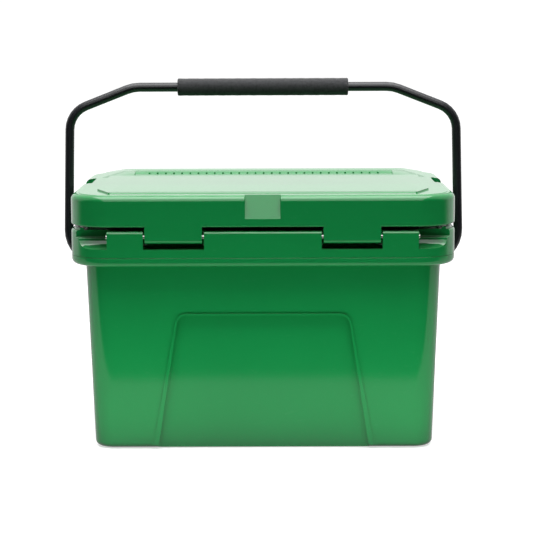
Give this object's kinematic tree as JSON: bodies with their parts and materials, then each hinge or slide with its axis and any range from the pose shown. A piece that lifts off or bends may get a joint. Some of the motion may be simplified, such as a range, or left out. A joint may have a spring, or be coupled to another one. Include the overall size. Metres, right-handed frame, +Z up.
{
  "type": "hard-sided ice box",
  "caption": "Hard-sided insulated ice box with a hinged lid, a steel bail handle with a foam grip, rubber latches and a ruler ridge on the lid.",
  "frame": {"origin": "middle of the footprint, on the surface that the box stands on", "axes": "+X along the width, -Y the hinge side, +Y the latch side, +Z up"},
  "size_m": [0.4646, 0.3, 0.41],
  "materials": {
    "green_plastic": "glossy moulded green plastic",
    "white_liner": "smooth white moulded plastic",
    "insulation_foam": "rigid insulation foam",
    "gasket_rubber": "soft black sealing rubber",
    "bright_steel": "plain stainless steel",
    "black_paint": "semi-gloss black powder coat",
    "grip_foam": "fine-celled black foam rubber",
    "black_nylon": "moulded black nylon",
    "latch_rubber": "moulded black rubber",
    "foot_rubber": "matt black rubber"
  },
  "bodies": {
    "body": {"body_shell": "green_plastic", "body_rim": "green_plastic", "body_liner": "white_liner", "body_foam": "insulation_foam", "hinge_pin_left": "bright_steel", "hinge_pin_right": "bright_steel", "latch_pin_left": "bright_steel", "latch_pin_right": "bright_steel", "foot_front_left": "foot_rubber", "foot_front_right": "foot_rubber", "foot_rear_left": "foot_rubber", "foot_rear_right": "foot_rubber", "foot_screw_front_left": "bright_steel", "foot_screw_front_right": "bright_steel", "foot_screw_rear_left": "bright_steel", "foot_screw_rear_right": "bright_steel", "fill_plug_left": "black_nylon", "fill_plug_right": "black_nylon"},
    "lid": {"lid_shell": "green_plastic", "lid_liner": "white_liner", "lid_foam": "insulation_foam", "lid_gasket": "gasket_rubber"},
    "bail_bushes": {"bail_bush_left": "black_nylon", "bail_bush_right": "black_nylon"},
    "bail": {"bail_handle": "black_paint", "bail_grip": "grip_foam", "bail_retainer_left": "bright_steel", "bail_retainer_right": "bright_steel"},
    "latch_left": {"latch_left": "latch_rubber"},
    "latch_right": {"latch_right": "latch_rubber"}
  },
  "joints": [
    {"name": "lid_hinge", "type": "hinge", "parent": "body", "child": "lid", "pos_m": [0, -0.141, 0.242], "axis": [1, 0, 0], "range_deg": [0, 95]},
    {"name": "bail_push", "type": "hinge", "parent": "body", "child": "bail_bushes", "pos_m": [0, -0.015, 0.1975], "axis": [1, 0, 0], "range_deg": [0, 129]},
    {"name": "bail_swing", "type": "hinge", "parent": "bail_bushes", "child": "bail", "pos_m": [0, -0.015, 0.1975], "axis": [-1, 0, 0], "range_deg": [0, 125]},
    {"name": "latch_left_hinge", "type": "hinge", "parent": "body", "child": "latch_left", "pos_m": [-0.12, 0.143, 0.23], "axis": [1, 0, 0], "range_deg": [0, 180]},
    {"name": "latch_right_hinge", "type": "hinge", "parent": "body", "child": "latch_right", "pos_m": [0.12, 0.143, 0.23], "axis": [1, 0, 0], "range_deg": [0, 180]}
  ],
  "couplings": [
    {"joint": "bail_push", "follows": "lid_hinge", "ratio": 1.35}
  ]
}
